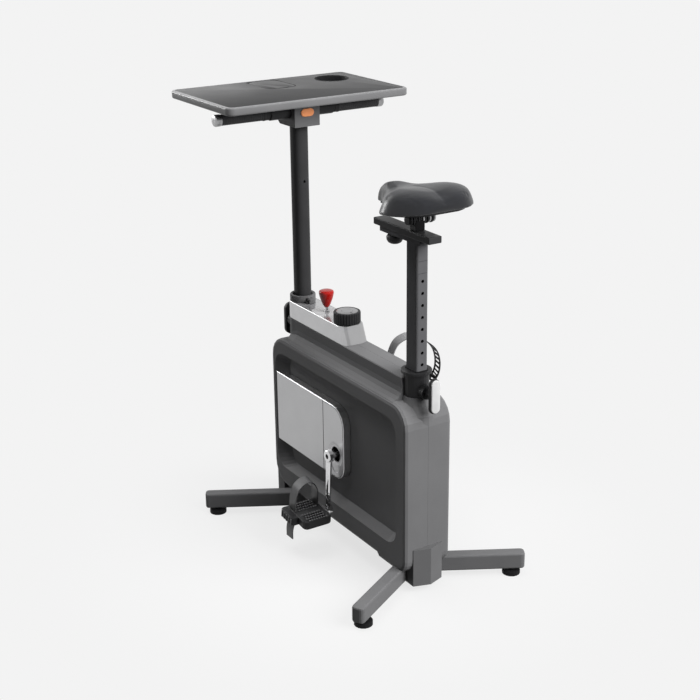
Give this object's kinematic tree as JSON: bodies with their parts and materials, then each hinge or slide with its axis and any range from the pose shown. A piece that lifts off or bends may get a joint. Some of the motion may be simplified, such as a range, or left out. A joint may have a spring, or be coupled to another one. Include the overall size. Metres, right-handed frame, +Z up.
{
  "type": "desk exercise bike",
  "caption": "Upright exercise bike with a flat work desk on its mast, an enclosed belt drive, a sliding saddle and splayed legs.",
  "frame": {"origin": "on the floor, under the middle of the bike's overall box", "axes": "+Z up, +Y towards the front, where the desk is, +X to the rider's right"},
  "size_m": [0.5624, 0.8765, 1.1565],
  "materials": {
    "charcoal_plastic": "fine grain, satin",
    "silver_plastic": "metallic silver lacquer, satin",
    "glossy_deck": "high gloss",
    "black_steel": "black powder coat, satin",
    "grey_steel": "dark grey powder coat, satin",
    "chrome": "bright plated",
    "bright_steel": "machined",
    "black_rubber": "matt",
    "black_plastic": "matt moulded",
    "red_plastic": "gloss",
    "orange_plastic": "satin",
    "pale_plastic": "semi-gloss",
    "desk_plastic": "satin",
    "mat_plastic": "fine grain",
    "saddle_cover": "smooth synthetic leather",
    "cast_iron": "turned rim, cast web"
  },
  "bodies": {
    "base": {"main_frame": "black_steel", "housing_left": "charcoal_plastic", "housing_right": "charcoal_plastic", "side_panel_left": "silver_plastic", "side_panel_right": "silver_plastic", "crank_cover_left": "silver_plastic", "crank_cover_right": "silver_plastic", "console_trim": "silver_plastic", "console_deck": "glossy_deck", "mast_collar": "black_plastic", "seat_socket": "charcoal_plastic", "seat_lever_hub": "black_plastic", "mast_lever_hub": "black_plastic", "front_bracket": "grey_steel", "rear_bracket": "grey_steel", "leg_front_left": "grey_steel", "leg_front_right": "grey_steel", "leg_rear_left": "grey_steel", "leg_rear_right": "grey_steel", "crank_bearing_left": "bright_steel", "crank_bearing_right": "bright_steel", "flywheel_axle": "bright_steel", "drive_belt": "black_rubber"},
    "foot_front_left": {"foot_front_left": "black_rubber"},
    "foot_front_right": {"foot_front_right": "black_rubber"},
    "foot_rear_left": {"foot_rear_left": "black_rubber"},
    "foot_rear_right": {"foot_rear_right": "black_rubber"},
    "crank": {"crank_spindle": "bright_steel", "drive_pulley": "black_plastic", "crank_arm_left": "chrome", "crank_arm_right": "chrome", "pedal_axle_left": "bright_steel", "pedal_axle_right": "bright_steel"},
    "pedal_left": {"pedal_body_left": "black_plastic", "pedal_strap_left": "black_rubber"},
    "pedal_right": {"pedal_body_right": "black_plastic", "pedal_strap_right": "black_rubber"},
    "flywheel": {"flywheel": "cast_iron"},
    "magnet_arm": {"magnet_arm": "bright_steel"},
    "dial": {"dial": "black_plastic"},
    "stop_knob": {"stop_knob": "red_plastic", "brake_shoe": "black_rubber"},
    "mast": {"mast_tube": "black_steel", "desk_bracket": "black_steel", "handlebar": "black_steel", "grip_left": "black_rubber", "grip_right": "black_rubber"},
    "desk_button": {"desk_button": "orange_plastic"},
    "desk": {"desk_tray": "desk_plastic", "desk_mat": "mat_plastic", "cup_holder": "black_plastic"},
    "tablet_flap": {"tablet_flap": "mat_plastic"},
    "mast_lever": {"mast_lever": "pale_plastic"},
    "seat_lever": {"seat_lever": "pale_plastic"},
    "seat_post": {"seat_post": "black_steel"},
    "seat_beam": {"seat_beam": "black_steel", "saddle_clamp": "black_steel"},
    "slider_knob": {"slider_knob": "black_plastic"},
    "saddle": {"saddle_shell": "black_plastic", "saddle_pad": "saddle_cover"}
  },
  "joints": [
    {"name": "foot_front_left_turn", "type": "hinge", "parent": "base", "child": "foot_front_left", "pos_m": [-0.248, 0.3005, 0], "axis": [0, 0, 1], "range_deg": [-180, 180]},
    {"name": "foot_front_right_turn", "type": "hinge", "parent": "base", "child": "foot_front_right", "pos_m": [0.248, 0.3005, 0], "axis": [0, 0, 1], "range_deg": [-180, 180]},
    {"name": "foot_rear_left_turn", "type": "hinge", "parent": "base", "child": "foot_rear_left", "pos_m": [-0.223, -0.411, 0], "axis": [0, 0, 1], "range_deg": [-180, 180]},
    {"name": "foot_rear_right_turn", "type": "hinge", "parent": "base", "child": "foot_rear_right", "pos_m": [0.223, -0.411, 0], "axis": [0, 0, 1], "range_deg": [-180, 180]},
    {"name": "crank_spin", "type": "hinge", "parent": "base", "child": "crank", "pos_m": [0, -0.037, 0.259], "axis": [1, 0, 0], "continuous": true},
    {"name": "pedal_left_spin", "type": "hinge", "parent": "crank", "child": "pedal_left", "pos_m": [-0.149, -0.037, 0.109], "axis": [1, 0, 0], "continuous": true},
    {"name": "pedal_right_spin", "type": "hinge", "parent": "crank", "child": "pedal_right", "pos_m": [0.149, -0.037, 0.409], "axis": [1, 0, 0], "continuous": true},
    {"name": "flywheel_spin", "type": "hinge", "parent": "base", "child": "flywheel", "pos_m": [0, 0.095, 0.3], "axis": [1, 0, 0], "continuous": true},
    {"name": "dial_turn", "type": "hinge", "parent": "base", "child": "dial", "pos_m": [0, 0.005, 0.628], "axis": [0, 0, 1], "range_deg": [0, 270]},
    {"name": "magnet_swing", "type": "hinge", "parent": "base", "child": "magnet_arm", "pos_m": [0, 0.13433, 0.19194], "axis": [-1, 0, 0], "range_deg": [0, 7]},
    {"name": "stop_press", "type": "slide", "parent": "base", "child": "stop_knob", "axis": [0, 0, 1], "range_m": [-0.008, 0], "stiffness_N_per_m": 800, "springref_m": 0.004},
    {"name": "mast_height", "type": "slide", "parent": "base", "child": "mast", "axis": [0, 0, 1], "range_m": [-0.2, 0]},
    {"name": "desk_button_press", "type": "slide", "parent": "mast", "child": "desk_button", "axis": [0, 1, 0], "range_m": [0, 0.003], "stiffness_N_per_m": 1200, "springref_m": -0.002},
    {"name": "desk_slide", "type": "slide", "parent": "mast", "child": "desk", "axis": [0, 1, 0], "range_m": [-0.05, 0]},
    {"name": "tablet_flap_lift", "type": "hinge", "parent": "desk", "child": "tablet_flap", "pos_m": [0, 0.4227, 1.1512], "axis": [-1, 0, 0], "range_deg": [0, 70]},
    {"name": "mast_lever_turn", "type": "hinge", "parent": "base", "child": "mast_lever", "pos_m": [0, 0.309, 0.525], "axis": [0, 1, 0], "range_deg": [0, 90]},
    {"name": "seat_lever_turn", "type": "hinge", "parent": "base", "child": "seat_lever", "pos_m": [0, -0.386, 0.523], "axis": [0, -1, 0], "range_deg": [0, 90]},
    {"name": "seat_height", "type": "slide", "parent": "base", "child": "seat_post", "axis": [0, 0, 1], "range_m": [-0.177, 0.059]},
    {"name": "seat_slide", "type": "slide", "parent": "seat_post", "child": "seat_beam", "axis": [0, 1, 0], "range_m": [-0.03, 0.03]},
    {"name": "slider_knob_turn", "type": "hinge", "parent": "seat_post", "child": "slider_knob", "pos_m": [0, -0.213, 0.858], "axis": [0, 0, 1], "range_deg": [-180, 180]},
    {"name": "saddle_tilt", "type": "hinge", "parent": "seat_beam", "child": "saddle", "pos_m": [0, -0.3055, 0.937], "axis": [1, 0, 0], "range_deg": [-10, 10]}
  ],
  "couplings": [
    {"joint": "flywheel_spin", "follows": "crank_spin", "ratio": 4.25},
    {"joint": "magnet_swing", "follows": "dial_turn", "ratio": 0.0259}
  ]
}
